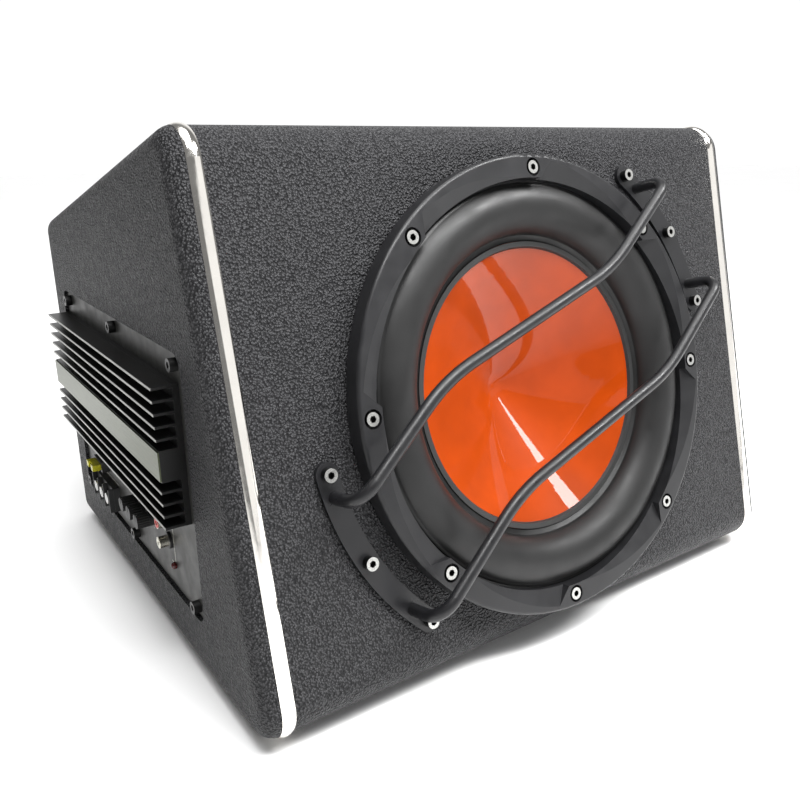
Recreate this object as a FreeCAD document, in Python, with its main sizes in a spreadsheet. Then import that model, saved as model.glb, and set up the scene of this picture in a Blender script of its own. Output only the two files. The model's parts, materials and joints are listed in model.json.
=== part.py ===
import FreeCAD, Part

# Powered car subwoofer: a wedge-shaped, leatherette-wrapped box with a 12 inch woofer behind two
# bent guard bars on its leaning front, and an amplifier let into its left side.
#
# Frame: X to the right, Y to the back, Z up, in millimetres.  The origin is on the floor, in the
# middle of the whole thing's outline seen from above.  Three more frames are used to place pieces:
#   floor frame - origin on the floor under the middle of the box, turned as the frame itself
#   front frame - origin on the front wrap at the woofer's axis, x right, y up the slope, z outwards
#   side frame  - origin on the left wrap at the amplifier's middle, x to the front, y up, z outwards

import math
import os
import re

import Sketcher
from FreeCAD import Placement, Rotation, Vector

SIZES = {
    # cabinet
    "box_right": 7.25,          # from the origin to the middle of the box: the heatsink stands
    "box_back": 9,              # out on its left, and the guard in front
    "cab_width": 476,
    "cab_depth": 415,
    "cab_height": 349,
    "front_run": 87,            # how far back the front's top edge stands from its bottom edge
    "back_height": 275,
    "front_round": 22,
    "back_round": 14,
    "cheek_round": 12.5,
    "wrap": 1,
    "board": 15,
    "panel_face": 219,          # inner faces of the two side panels, from the middle
    "foot_height": 6,
    "foot_radius": 11,
    "foot_inset": 46,
    "foot_bite": 13,            # how far a foot's screw hole goes into the box
    # chrome edge strips
    "trim_middle": 223,
    "trim_dome": 7.1,           # radius of the strip's domed face, seen in section
    "trim_proud": 1.4,
    "trim_stem": 1.6,
    "trim_stem_depth": 9,
    # woofer, heights counted from the front wrap
    "woofer_up": 177.2,
    "screw_circle": 147.5,
    "ring_outer": 156.6,
    "ring_inner": 140.5,
    "ring_top": 15,
    "edge_round": 2.5,
    "gasket": 1.5,
    "ledge_top": 5.2,
    "ledge_inner": 133.5,
    "skirt_outer": 142,
    "skirt_low": -16,
    "cutout": 143,
    "pocket_shift": 24,         # from the woofer's axis to the middle of a pocket's round wall
    "pocket_turn": 27.5,        # that middle's angle past the pocket's screw
    "pocket_radius": 133.5,
    "pocket_depth": 6,
    "pocket_lean": 2.2,         # how far the wall leans out for each unit it rises
    "pocket_start": 2.5,        # angles before the screw: where the pocket's straight end starts,
    "pocket_end_turn": 42.7,    # and which way it runs
    "pocket_reach": 91.2,
    "window_length": 60,
    "window_width": 92,
    "window_height": 40,
    "window_out": 116,
    "window_low": -62,
    "vent_length": 20,
    "vent_width": 36,
    "vent_height": 12,
    "vent_out": 72,
    "vent_low": -92,
    "rubber": 1.6,
    "landing": 1.5,             # the surround's clear distance from the ring's inner wall
    "roll_middle": 123.6,
    "roll_level": -5.7,
    "roll_arc": 18.7,
    "cone_edge": 96.3,
    "cone_glue": 105,
    "cone_top": -5.5,
    "cone_apex": -52,
    "cone_wall": 1.7,
    "apex_flat": 1.5,
    "apex_reach": 10,
    "apex_rise": 2.06,
    "apex_arc": 25.3,
    "flank_arc": 700,
    "rim_outer": 100.8,
    "rim_height": 2.2,
    "coil_radius": 25,
    "former_wall": 0.4,
    "coil_bottom": -116,
    "coil_length": 22,
    "basket_back": -101,
    "spider_level": -72,
    "spider_outer": 80,
    "spider_thick": 0.8,
    "shelf_wall": 8,
    "plate_gap": 26.8,
    "plate_outer": 70,
    "plate_thick": 8,
    "magnet_outer": 78,
    "magnet_inner": 36,
    "magnet_thick": 20,
    "pole_radius": 24,
    "pole_bore": 8,
    "tag_length": 34,
    "tag_height": 8,
    "tag_thick": 4,
    "tab_width": 6.3,
    "tab_length": 8.2,
    "tab_thick": 0.8,
    "tab_apart": 20,
    # guard
    "guard_radius": 178,
    "guard_width": 15,
    "guard_thick": 3,
    "bar_radius": 4,
    "bar_height": 33,
    "bend_apart": 80,
    "bend_aside": 15.5,
    "leg_bend": 15,
    "plan_bend": 120,
    # socket-head screws
    "head_radius": 4.25,
    "head_height": 5,
    "hex_radius": 2.3,
    "shank_radius": 2.5,
    "counterbore": 6,
    "ring_screw": 20,
    "guard_screw": 12,
    "amp_screw": 13,
    # amplifier, heights counted from the left wrap
    "amp_up": 136,
    "amp_back": 27,
    "amp_length": 280,
    "amp_height": 176,
    "amp_corner": 9,
    "amp_recess": 2.5,
    "amp_plate_thick": 3,
    "amp_gasket": 2,
    "rebate_depth": 7.5,
    "amp_gap": 1.5,
    "amp_opening_length": 250,
    "amp_opening_height": 150,
    "amp_screw_x": 128,
    "amp_screw_y": 81.5,
    "amp_depth": 54,
    "cover_length": 246,
    "cover_height": 146,
    "cover_wall": 1.2,
    "sink_length": 270,
    "sink_middle": -5.5,
    "sink_low": -22,
    "sink_height": 92,
    "sink_base": 4,
    "sink_proud": 17,
    "fin_pitch": 8,
    "fin_thick": 1.6,
    "badge_width": 19,
    "badge_thick": 1,
    "knob_radius": 5.5,
    "knob_height": 11.5,
    "knob_gap": 0.5,
    "flute_radius": 0.8,
    "groove_width": 1.2,
    "shaft_radius": 3,
    "shaft_play": 0.06,
    "shaft_below": 7,
    "pot_side": 16,
    "pot_depth": 8,
    "rca_radius": 4.15,
    "rca_wall": 0.7,
    "rca_length": 8,
    "rca_bore": 1.6,
    "rca_base": 6,
    "rca_base_high": 2,
    "led_radius": 2.5,
    # power terminals and fuse
    "terminal_pitch": 16,
    "terminal_block_length": 50,
    "terminal_block_width": 20,
    "terminal_block_high": 5,
    "terminal_rib": 1.5,
    "terminal_rib_high": 9,
    "terminal_washer": 6.5,
    "terminal_washer_high": 1.5,
    "terminal_screw": 4.6,
    "terminal_screw_high": 4,
    "terminal_thread": 1.5,
    "fuse_length": 19.1,
    "fuse_width": 5.1,
    "fuse_high": 10,
    "fuse_floor": 3,
    "fuse_wall": 2,
    "fuse_play": 0.05,
    "fuse_holder_high": 6,
    # inside the amplifier, depths counted from the plate's inner face
    "board_length": 220,
    "board_width": 110,
    "board_thick": 1.6,
    "board_depth": 22,
    "board_shift": -4,
    "board_drop": -8,
    "post_radius": 3,
    "post_inset": 6,
    "can_radius": 8,
    "can_length": 26,
    "can_pitch": 20,
    "coil_ring": 13,
    "coil_wire": 6,
    "chip_width": 15,
    "chip_length": 20,
    "chip_thick": 5,
    "chip_pitch": 24,
}

doc = FreeCAD.newDocument("car_subwoofer")
sheet = doc.addObject("Spreadsheet::Sheet", "sizes")
for row, (name, number) in enumerate(SIZES.items(), start=1):
    sheet.set("A%d" % row, name)
    sheet.set("B%d" % row, str(number))
    sheet.setAlias("B%d" % row, name)
doc.recompute()

nodes = []


# ---------------------------------------------------------------- helpers: sizes and expressions

scratch = doc.addObject("Spreadsheet::Sheet", "working_out")


def formula(text):
    """A text over the sheet's words as a FreeCAD expression: 'board + wrap' reads the sheet."""
    return re.sub(r"[a-z]+_?[a-z_]*", lambda word: "sizes." * (word[0] in SIZES) + word[0], text)


def amount(text):
    """The number such a text stands for now."""
    scratch.set("A1", "=" + formula(text))
    scratch.recompute()
    return float(scratch.A1)


def bind(thing, **texts):
    """Set properties of an object, each from a text over the sheet's words."""
    for name, text in texts.items():
        thing.setExpression(name, formula(text))
    return thing


def node(thing, label):
    """Keep an object as a sub-part, under the name of its file."""
    thing.Label = label
    nodes.append(thing)
    return thing


# ---------------------------------------------------------------- helpers: frames

LEAN = math.degrees(math.atan2(SIZES["front_run"], SIZES["cab_height"]))
SLOPE = Vector(0, math.sin(math.radians(LEAN)), math.cos(math.radians(LEAN)))
FRONT_FOOT = Vector(0, -SIZES["cab_depth"] / 2, SIZES["foot_height"])
FLOOR = Placement(Vector(SIZES["box_right"], SIZES["box_back"], 0), Rotation())
FRONT = FLOOR * Placement(
    FRONT_FOOT + SLOPE * SIZES["woofer_up"], Rotation(Vector(1, 0, 0), 90 - LEAN))
SIDE = FLOOR * Placement(
    Vector(-SIZES["cab_width"] / 2, SIZES["amp_back"], SIZES["amp_up"]),
    Rotation(Vector(0, -1, 0), Vector(0, 0, 1), Vector(-1, 0, 0), "XYZ"))


def at(x=0.0, y=0.0, z=0.0, turn=0.0):
    """A place within a frame: moved to x, y, z and turned about the frame's own z."""
    return Placement(Vector(x, y, z), Rotation(Vector(0, 0, 1), turn))


def polar(radius, angle, z=0.0, turn=0.0):
    """A place on a circle about a frame's z axis."""
    swing = math.radians(angle)
    return at(radius * math.cos(swing), radius * math.sin(swing), z, turn)


# ---------------------------------------------------------------- helpers: primitives and booleans

def cylinder(where, radius, height):
    thing = bind(doc.addObject("Part::Cylinder", "cylinder"), Radius=radius, Height=height)
    thing.Placement = where
    return thing


def tube(where, outer, inner, height):
    return cut(cylinder(where, outer, height), cylinder(where, inner, height))


def frustum(where, low, high, height):
    thing = bind(doc.addObject("Part::Cone", "frustum"), Radius1=low, Radius2=high, Height=height)
    thing.Placement = where
    return thing


def hexagon(where, radius, height):
    thing = bind(doc.addObject("Part::Prism", "hexagon"), Circumradius=radius, Height=height)
    thing.Placement = where
    return thing


def box(where, length, width, height):
    """A box centred on its place in x and y, standing on it in z."""
    thing = bind(doc.addObject("Part::Box", "box"), Length=length, Width=width, Height=height)
    thing.Placement = where * at(-amount(length) / 2, -amount(width) / 2)
    return thing


def rounded_box(where, length, width, height, radius):
    """The same with its four upright edges rounded."""
    block = box(where, length, width, height)
    doc.recompute()
    thing = doc.addObject("Part::Fillet", "rounded_box")
    thing.Base = block
    upright = where.Rotation.multVec(Vector(0, 0, 1))
    thing.Edges = [
        (index, amount(radius), amount(radius))
        for index, edge in enumerate(block.Shape.Edges, start=1)
        if abs(edge.tangentAt(edge.FirstParameter).dot(upright)) > 0.99]
    return thing


def cut(base, *tools):
    thing = doc.addObject("Part::Cut", "cut")
    thing.Base = base
    thing.Tool = tools[0] if len(tools) == 1 else group(*tools)
    return thing


def common(first, second):
    thing = doc.addObject("Part::Common", "common")
    thing.Base = first
    thing.Tool = second
    return thing


def fuse(*things):
    thing = doc.addObject("Part::MultiFuse", "fuse")
    thing.Shapes = list(things)
    return thing


def group(*things):
    """Separate solids side by side, such as a set of screws."""
    thing = doc.addObject("Part::Compound", "group")
    thing.Links = list(things)
    return thing


# ---------------------------------------------------------------- helpers: sketched pieces

def outline(sketch, points, arcs):
    """Draw a closed outline, fully held by the sheet's sizes.

    Each point is a pair of texts.  arcs gives, for a side that is an arc, its radius and the way
    it bulges: +1 to the left of the side's direction, -1 to the right.
    """
    corners = [Vector(amount(across), amount(up), 0) for across, up in points]
    ends = []
    for index, start in enumerate(corners):
        finish = corners[(index + 1) % len(corners)]
        if index in arcs:
            radius, way = arcs[index]
            edge = Part.Arc(start, arc_middle(start, finish, amount(radius) * way), finish)
            backwards = way > 0
        else:
            edge = Part.LineSegment(start, finish)
            backwards = False
        ends.append((2, 1) if backwards else (1, 2))
        sketch.addGeometry(edge, False)
    for index in range(len(corners)):
        after = (index + 1) % len(corners)
        sketch.addConstraint(
            Sketcher.Constraint("Coincident", index, ends[index][1], after, ends[after][0]))
    for index, (across, up) in enumerate(points):
        for kind, text in (("DistanceX", across), ("DistanceY", up)):
            hold = Sketcher.Constraint(kind, -1, 1, index, ends[index][0], amount(text))
            sketch.setExpression("Constraints[%d]" % sketch.addConstraint(hold), formula(text))
    for index, (radius, _) in arcs.items():
        hold = Sketcher.Constraint("Radius", index, amount(radius))
        sketch.setExpression("Constraints[%d]" % sketch.addConstraint(hold), formula(radius))


def arc_middle(start, finish, radius):
    """The middle of the shorter arc; a positive radius bulges to the left of start-finish."""
    chord = finish - start
    left = Vector(-chord.y, chord.x, 0).normalize()
    rise = abs(radius) - math.sqrt(radius ** 2 - chord.Length ** 2 / 4)
    return (start + finish) * 0.5 + left * math.copysign(rise, radius)


def sketch_in(body, role, points, arcs):
    sketch = body.newObject("Sketcher::SketchObject", "outline")
    plane = next(plane for plane in body.Origin.OriginFeatures if plane.Role == role)
    sketch.AttachmentSupport = (plane, [""])
    sketch.MapMode = "FlatFace"
    outline(sketch, points, arcs)
    return sketch


def turned(where, points, arcs=None):
    """A piece turned about its frame's z, from an outline of (radius, height) pairs."""
    body = doc.addObject("PartDesign::Body", "turned")
    body.Placement = where
    sketch = sketch_in(body, "XZ_Plane", points, arcs or {})
    solid = body.newObject("PartDesign::Revolution", "revolution")
    solid.Profile = sketch
    solid.ReferenceAxis = (sketch, ["V_Axis"])
    solid.Angle = 360
    body.Tip = solid
    return body


def sheet_plate(where, length, width, thickness, corner):
    """A flat plate padded from a sketch: straight sides and four corner arcs."""
    body = doc.addObject("PartDesign::Body", "plate")
    body.Placement = where
    half_x = "0.5 * (%s)" % length
    half_y = "0.5 * (%s)" % width
    x_in = "%s - (%s)" % (half_x, corner)
    y_in = "%s - (%s)" % (half_y, corner)
    points = [
        (half_x, "-(%s)" % y_in), (half_x, y_in), (x_in, half_y), ("-(%s)" % x_in, half_y),
        ("-(%s)" % half_x, y_in), ("-(%s)" % half_x, "-(%s)" % y_in),
        ("-(%s)" % x_in, "-(%s)" % half_y), (x_in, "-(%s)" % half_y)]
    arcs = {side: (corner, -1) for side in (1, 3, 5, 7)}
    sketch = sketch_in(body, "XY_Plane", points, arcs)
    pad = body.newObject("PartDesign::Pad", "pad")
    pad.Profile = sketch
    bind(pad, Length=thickness)
    body.Tip = pad
    return body


# ---------------------------------------------------------------- helpers: screws

def cap_screw(where, shank):
    """A socket-head screw whose head stands on its place."""
    head = cylinder(where, "head_radius", "head_height")
    below = cylinder(where * at(z=-amount(shank)), "shank_radius", shank)
    socket = hexagon(where * at(z=amount("0.4 * head_height")), "hex_radius", "head_height")
    return cut(fuse(head, below), socket)


def pilot(where, depth):
    """The hole such a screw bites into, from its place down."""
    return cylinder(where * at(z=-amount(depth)), "shank_radius", depth)


# ---------------------------------------------------------------- cabinet

SIDE_VIEW = Rotation(Vector(0, 1, 0), Vector(0, 0, 1), Vector(1, 0, 0), "XYZ")


def side_outline():
    """The wedge seen from its right side: x of the sketch to the back, y up."""
    sketch = doc.addObject("Sketcher::SketchObject", "side_outline")
    sketch.Placement = FLOOR * Placement(Vector(), SIDE_VIEW)
    outline(sketch, [
        ("-0.5 * cab_depth", "foot_height"),
        ("0.5 * cab_depth", "foot_height"),
        ("0.5 * cab_depth", "foot_height + back_height"),
        ("-0.5 * cab_depth + front_run", "foot_height + cab_height")], {})
    return sketch


WEDGE_OUTLINE = side_outline()


def wedge(inset, x_from, x_to, cheek=None, sharp=False):
    """The rounded wedge, shrunk by inset, between two distances from the middle.

    cheek is the sign of x whose side face has its whole edge rounded; a sharp wedge keeps its
    lengthwise corners.
    """
    flat = doc.addObject("Part::Offset2D", "inset_outline")
    flat.Source = WEDGE_OUTLINE
    flat.Join = "Intersection"
    bind(flat, Value="-(%s)" % inset)
    block = doc.addObject("Part::Extrusion", "block")
    block.Base = flat if amount(inset) else WEDGE_OUTLINE
    block.DirMode = "Custom"
    block.Dir = Vector(1, 0, 0)
    block.Solid = True
    bind(block, LengthFwd=x_to, LengthRev="-(%s)" % x_from)
    if sharp:
        return block
    doc.recompute()
    corners = doc.addObject("Part::Fillet", "corners")
    corners.Base = block
    corners.Edges = [
        (index, wedge_round(edge, inset), wedge_round(edge, inset))
        for index, edge in enumerate(block.Shape.Edges, start=1)
        if abs(edge.tangentAt(edge.FirstParameter).x) > 0.99 and wedge_round(edge, inset) > 0]
    if cheek is None:
        return corners
    doc.recompute()
    side = FLOOR.Base.x + amount(x_to if cheek > 0 else x_from)
    soft = doc.addObject("Part::Fillet", "cheek")
    soft.Base = corners
    reach = amount("cheek_round - (%s)" % inset)
    soft.Edges = [
        (index, reach, reach) for index, edge in enumerate(corners.Shape.Edges, start=1)
        if all(abs(corner.X - side) < 1e-6 for corner in edge.Vertexes)]
    return soft


def wedge_round(edge, inset):
    """How round a lengthwise corner is: the two at the front are rounder than the two behind."""
    in_front = edge.CenterOfMass.y < FLOOR.Base.y
    return amount(("front_round - (%s)" if in_front else "back_round - (%s)") % inset)


def boards():
    """The four boards between the side panels, cut from one hollow wedge."""
    shell = cut(
        wedge("wrap", "-panel_face", "panel_face"),
        wedge("wrap + board", "-panel_face - 1", "panel_face + 1", sharp=True))
    front_slab = box(
        FRONT * at(z=-amount("wrap + board")), "cab_width", "3 * cab_height", "wrap + 2 * board")
    rest = cut(shell, front_slab)
    back_slab = box(
        FLOOR * at(y=amount("0.5 * cab_depth - wrap - 0.5 * board")), "cab_width", "board",
        "cab_height")
    between = cut(rest, back_slab)
    lower_half = box(FLOOR, "cab_width", "cab_depth", "0.5 * back_height")
    foot_holes = [pilot(place * at(z=amount("foot_bite")), "foot_bite") for place in foot_places()]
    node(cut(common(shell, front_slab), woofer_hole(), *front_pilots()), "front_baffle")
    node(common(rest, back_slab), "back_panel")
    node(cut(between, lower_half), "top_panel")
    node(cut(common(between, lower_half), *foot_holes), "bottom_panel")


def stem(side):
    """The tongue of a chrome strip, from within its head down to the bottom of its groove."""
    middle = "%s * trim_middle" % side
    return cut(
        wedge("-0.5 * trim_proud", middle + " - 0.5 * trim_stem", middle + " + 0.5 * trim_stem"),
        wedge("trim_stem_depth", middle + " - trim_stem", middle + " + trim_stem"))


def rebate(margin):
    """The shallow opening the amplifier's plate lies in, with a margin round the plate."""
    return rounded_box(
        SIDE * at(z=-amount("rebate_depth")), "amp_length + 2 * (%s)" % margin,
        "amp_height + 2 * (%s)" % margin, "2 * rebate_depth", "amp_corner + %s" % margin)


def side_panels():
    right = wedge("wrap", "panel_face", "0.5 * cab_width - wrap", cheek=1)
    left = wedge("wrap", "-0.5 * cab_width + wrap", "-panel_face", cheek=-1)
    opening = rounded_box(
        SIDE * at(z=-amount("2 * board")), "amp_opening_length", "amp_opening_height", "3 * board",
        "amp_corner")
    holes = [pilot(place, "board") for place in amp_screw_places()]
    node(cut(right, stem(1)), "right_side_panel")
    node(cut(left, stem(-1), opening, rebate("amp_gap + wrap"), *holes), "left_side_panel")


def wraps():
    """The leatherette, in three pieces that meet in the grooves of the chrome strips."""
    edge = "trim_middle - 0.5 * trim_stem"
    side_edge = "trim_middle + 0.5 * trim_stem"
    centre = cut(
        wedge("0", "-(%s)" % edge, edge),
        wedge("wrap", "-(%s) - 1" % edge, "%s + 1" % edge))
    between_sides = wedge("-1", "-(%s)" % side_edge, side_edge)
    right = cut(
        wedge("0", "panel_face", "0.5 * cab_width", cheek=1),
        wedge("wrap", "panel_face", "0.5 * cab_width - wrap", cheek=1),
        between_sides)
    left = cut(
        wedge("0", "-0.5 * cab_width", "-panel_face", cheek=-1),
        wedge("wrap", "-0.5 * cab_width + wrap", "-panel_face", cheek=-1),
        between_sides)
    lining = common(
        rebate("amp_gap + wrap"),
        box(SIDE * at(z=-amount("rebate_depth")), "cab_depth", "cab_height", "rebate_depth"))
    foot_holes = [
        cylinder(place * at(z=-1), "shank_radius", "foot_bite") for place in foot_places()]
    node(cut(centre, woofer_hole(), *front_pilots(), *foot_holes), "centre_wrap")
    node(right, "right_side_wrap")
    node(cut(fuse(left, lining), rebate("amp_gap")), "left_side_wrap")


def trim(side, label):
    """A chrome strip round the whole wedge: a domed head and a tongue let into the panel."""
    low = "%s * trim_middle - 1.02 * trim_dome" % side
    high = "%s * trim_middle + 1.02 * trim_dome" % side
    block = wedge("-trim_proud", low, high)
    doc.recompute()
    soft = doc.addObject("Part::Fillet", "strip_head")
    soft.Base = block
    bend = amount("trim_dome")
    soft.Edges = [
        (index, bend, bend) for index, edge in enumerate(block.Shape.Edges, start=1)
        if abs(edge.tangentAt(edge.FirstParameter).x) < 0.5]
    head = cut(soft, wedge("0", low + " - 1", high + " + 1"))
    node(fuse(head, stem(side)), label)


def foot_places():
    """Where the feet touch the box, one in each corner of its base."""
    x = amount("0.5 * cab_width - foot_inset")
    y = amount("0.5 * cab_depth - foot_inset")
    return [
        FLOOR * at(across, along, SIZES["foot_height"]) for across in (-x, x) for along in (-y, y)]


def feet():
    """Rubber feet, each with its screw head sunk in a recess."""
    names = ["front_left_foot", "back_left_foot", "front_right_foot", "back_right_foot"]
    screws = []
    for name, place in zip(names, foot_places()):
        low = place * at(z=-amount("foot_height"))
        body = frustum(low, "foot_radius", "foot_radius + 1.5", "foot_height")
        recess = cylinder(low, "head_radius + 0.75", "0.6 * foot_height")
        hole = cylinder(low, "shank_radius", "foot_height")
        node(cut(body, recess, hole), name)
        head = cylinder(low * at(z=amount("0.3 * foot_height")), "head_radius", "0.3 * foot_height")
        shank = cylinder(low * at(z=amount("0.5 * foot_height")), "shank_radius", "foot_bite + 2")
        screws.append(fuse(head, shank))
    node(group(*screws), "foot_screws")


# ---------------------------------------------------------------- woofer

SCREW_ANGLES = [88 + 45 * number for number in range(8)]


def woofer_hole():
    return cylinder(FRONT * at(z=-amount("2 * board")), "cutout", "3 * board")


def ring_places():
    level = amount("ring_top - head_height")
    return [FRONT * polar(SIZES["screw_circle"], angle, level, angle) for angle in SCREW_ANGLES]


def ring_holes():
    return [pilot(place, "ring_screw + 2") for place in ring_places()]


def front_pilots():
    return ring_holes() + [pilot(place, "guard_screw + 2") for place in guard_screw_places()]


def gasket_ring():
    node(cut(tube(FRONT, "ring_outer - 1", "cutout", "gasket"), *ring_holes()), "woofer_gasket")


def swirl_pocket(angle):
    """The sloping recess between two screws, wide beside one and run out at the next."""
    low = amount("ring_top - pocket_depth")
    bowl = frustum(
        FRONT * polar(SIZES["pocket_shift"], angle + SIZES["pocket_turn"], low),
        "pocket_radius - pocket_lean * pocket_depth", "pocket_radius + pocket_lean",
        "pocket_depth + 1")
    start = polar(SIZES["ring_inner"], angle - SIZES["pocket_start"], low)
    line = start * at(turn=angle - SIZES["pocket_end_turn"])
    sector = box(
        FRONT * line * at(y=-amount("0.5 * pocket_reach")), "ring_outer", "pocket_reach", "ring_top")
    return common(bowl, sector)


def woofer_frame():
    """The cast basket: ring, ledge for the surround, spokes, spider shelf and motor seat."""
    basket = turned(FRONT, [
        ("ring_outer", "gasket"),
        ("ring_outer", "ring_top - edge_round"),
        ("ring_outer - edge_round", "ring_top"),
        ("ring_inner", "ring_top"),
        ("ring_inner", "ledge_top"),
        ("ledge_inner", "ledge_top"),
        ("ledge_inner", "skirt_low"),
        ("spider_outer + 3", "spider_level + shelf_wall"),
        ("spider_outer + 3", "spider_level"),
        ("spider_outer - shelf_wall", "spider_level"),
        ("spider_outer - 11", "basket_back + 5"),
        ("plate_gap + 3", "basket_back + 5"),
        ("plate_gap + 3", "basket_back"),
        ("plate_outer", "basket_back"),
        ("spider_outer - 4", "spider_level - 4"),
        ("spider_outer + 7", "spider_level - 4"),
        ("spider_outer + 7", "spider_level + shelf_wall"),
        ("skirt_outer - 4", "skirt_low - 2"),
        ("skirt_outer", "skirt_low"),
        ("skirt_outer", "gasket")], {1: ("edge_round", -1)})
    openings = []
    for number in range(6):
        spoke = FRONT * at(turn=60 * number)
        openings.append(box(
            spoke * at(x=SIZES["window_out"], z=SIZES["window_low"]), "window_length",
            "window_width", "window_height"))
        openings.append(box(
            spoke * at(x=SIZES["vent_out"], z=SIZES["vent_low"]), "vent_length", "vent_width",
            "vent_height"))
    sinks = [cylinder(place, "counterbore", "ring_top") for place in ring_places()]
    pockets = [swirl_pocket(angle) for angle in SCREW_ANGLES]
    node(cut(basket, *openings, *ring_holes(), *sinks, *pockets), "woofer_frame")
    node(group(*[cap_screw(place, "ring_screw") for place in ring_places()]), "woofer_screws")


def surround():
    """The rubber half-roll between the frame's ledge and the cone's edge."""
    arc_out = "roll_middle + sqrt(roll_arc ^ 2 - (ledge_top + rubber - roll_level) ^ 2)"
    arc_in = "roll_middle - sqrt(roll_arc ^ 2 - (cone_top + rubber - roll_level) ^ 2)"
    under_out = "roll_middle + sqrt((roll_arc - rubber) ^ 2 - (ledge_top - roll_level) ^ 2)"
    under_in = "roll_middle - sqrt((roll_arc - rubber) ^ 2 - (cone_top - roll_level) ^ 2)"
    node(turned(FRONT, [
        ("ring_inner - landing", "ledge_top"),
        ("ring_inner - landing", "ledge_top + rubber"),
        (arc_out, "ledge_top + rubber"),
        (arc_in, "cone_top + rubber"),
        ("rim_outer + 0.3", "cone_top + rubber"),
        ("rim_outer + 0.3", "cone_top"),
        (under_in, "cone_top"),
        (under_out, "ledge_top")],
        {2: ("roll_arc", -1), 6: ("roll_arc - rubber", 1)}), "surround")


def cone_profile(drop):
    """Half of the cone's surface, from the axis out, lowered by drop."""
    return [
        ("0", "cone_apex - %s" % drop),
        ("apex_flat", "cone_apex - %s" % drop),
        ("apex_reach", "cone_apex + apex_rise - %s" % drop),
        ("cone_edge", "cone_top - %s" % drop)]


def cone():
    """The cone, a shallow horn shape, and the black rim moulded on its edge."""
    face = cone_profile("0")
    back = cone_profile("cone_wall")
    node(turned(
        FRONT, face + [("cone_glue", "cone_top"), ("cone_glue", "cone_top - cone_wall")] + back[::-1],
        {1: ("apex_arc", -1), 2: ("flank_arc", -1), 6: ("flank_arc", 1), 7: ("apex_arc", 1)}),
        "cone")
    ring = turned(FRONT, [
        ("cone_edge", "cone_top"),
        ("rim_outer", "cone_top"),
        ("rim_outer", "cone_top + rim_height"),
        ("cone_edge + 1", "cone_top + rim_height")])
    node(ring, "cone_rim")


def motor():
    """Voice coil, spider and magnet, stacked on the woofer's axis."""
    above_cone = turned(
        FRONT, cone_profile("cone_wall") + [("cone_edge", "0"), ("0", "0")],
        {1: ("apex_arc", -1), 2: ("flank_arc", -1)})
    sleeve = tube(
        FRONT * at(z=amount("coil_bottom - 2")), "coil_radius + former_wall", "coil_radius",
        "-coil_bottom - coil_radius")
    node(cut(sleeve, above_cone), "voice_coil_former")
    node(tube(
        FRONT * at(z=amount("coil_bottom")), "coil_radius + 3 * former_wall",
        "coil_radius + former_wall", "coil_length"), "voice_coil")
    node(turned(FRONT, [
        ("coil_radius + former_wall", "spider_level"),
        ("coil_radius + former_wall", "spider_level + 5 * spider_thick"),
        ("coil_radius + 4", "spider_level + spider_thick"),
        ("spider_outer", "spider_level + spider_thick"),
        ("spider_outer", "spider_level"),
        ("coil_radius + 4", "spider_level")]), "spider")
    top = "basket_back - plate_thick"
    node(tube(FRONT * at(z=amount(top)), "plate_outer", "plate_gap", "plate_thick"), "top_plate")
    node(tube(
        FRONT * at(z=amount(top + " - magnet_thick")), "magnet_outer", "magnet_inner",
        "magnet_thick"), "magnet")
    low = top + " - magnet_thick"
    node(turned(FRONT, [
        ("pole_bore", low + " - plate_thick"),
        ("plate_outer", low + " - plate_thick"),
        ("plate_outer", low),
        ("pole_radius", low),
        ("pole_radius", "basket_back"),
        ("pole_bore", "basket_back")]), "pole_and_back_plate")


def woofer_terminals():
    """A small tag strip riveted beside the basket's spider shelf."""
    place = FRONT * at(y=amount("spider_outer + 7"), z=amount("spider_level - 2"))
    half = amount("0.5 * tag_thick")
    strip = box(place * at(y=half), "tag_length", "tag_thick", "tag_height")
    tabs = [
        box(place * at(x=side * amount("0.5 * tab_apart"), y=2 * half + amount("0.5 * tab_length")),
            "tab_width", "tab_length + 0.2", "tab_thick")
        for side in (-1, 1)]
    node(fuse(strip, *tabs), "woofer_terminals")


# ---------------------------------------------------------------- guard

BRACKET_MIDDLES = {"lower_left_bracket": 207.0, "upper_right_bracket": 32.6}
SCREW_SPREAD = 19.8
ROOT_SPREAD = 15.0


def guard_screw_places():
    """On the brackets' upper faces, three screws to a bracket."""
    return [
        FRONT * polar(SIZES["guard_radius"], middle + spread, SIZES["guard_thick"], middle)
        for middle in BRACKET_MIDDLES.values()
        for spread in (-SCREW_SPREAD, 0, SCREW_SPREAD)]


def bracket(label, middle):
    """A flat arc with round ends, screwed down beside the woofer's ring."""
    ring = tube(
        FRONT, "guard_radius + 0.5 * guard_width", "guard_radius - 0.5 * guard_width",
        "guard_thick")
    sector = bind(doc.addObject("Part::Cylinder", "sector"),
                  Radius="2 * guard_radius", Height="guard_thick")
    sector.Angle = 2 * SCREW_SPREAD
    sector.Placement = FRONT * at(turn=middle - SCREW_SPREAD)
    ends = [
        cylinder(FRONT * polar(SIZES["guard_radius"], middle + spread), "0.5 * guard_width",
                 "guard_thick")
        for spread in (-SCREW_SPREAD, SCREW_SPREAD)]
    holes = [pilot(place, "guard_thick + 1") for place in guard_screw_places()]
    node(cut(fuse(common(ring, sector), *ends), *holes), label)


def bent_path(points, radii):
    """A wire through the points, each inner corner an arc of its radius."""
    edges = []
    last = points[0]
    for before, corner, after, radius in zip(points, points[1:], points[2:], radii):
        back = (before - corner).normalize()
        on = (after - corner).normalize()
        half = back.getAngle(on) / 2
        reach = radius / math.tan(half)
        middle = corner + (back + on).normalize() * (radius / math.sin(half) - radius)
        edges.append(Part.LineSegment(last, corner + back * reach).toShape())
        edges.append(Part.Arc(corner + back * reach, middle, corner + on * reach).toShape())
        last = corner + on * reach
    edges.append(Part.LineSegment(last, points[-1]).toShape())
    return Part.Wire(edges)


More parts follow.
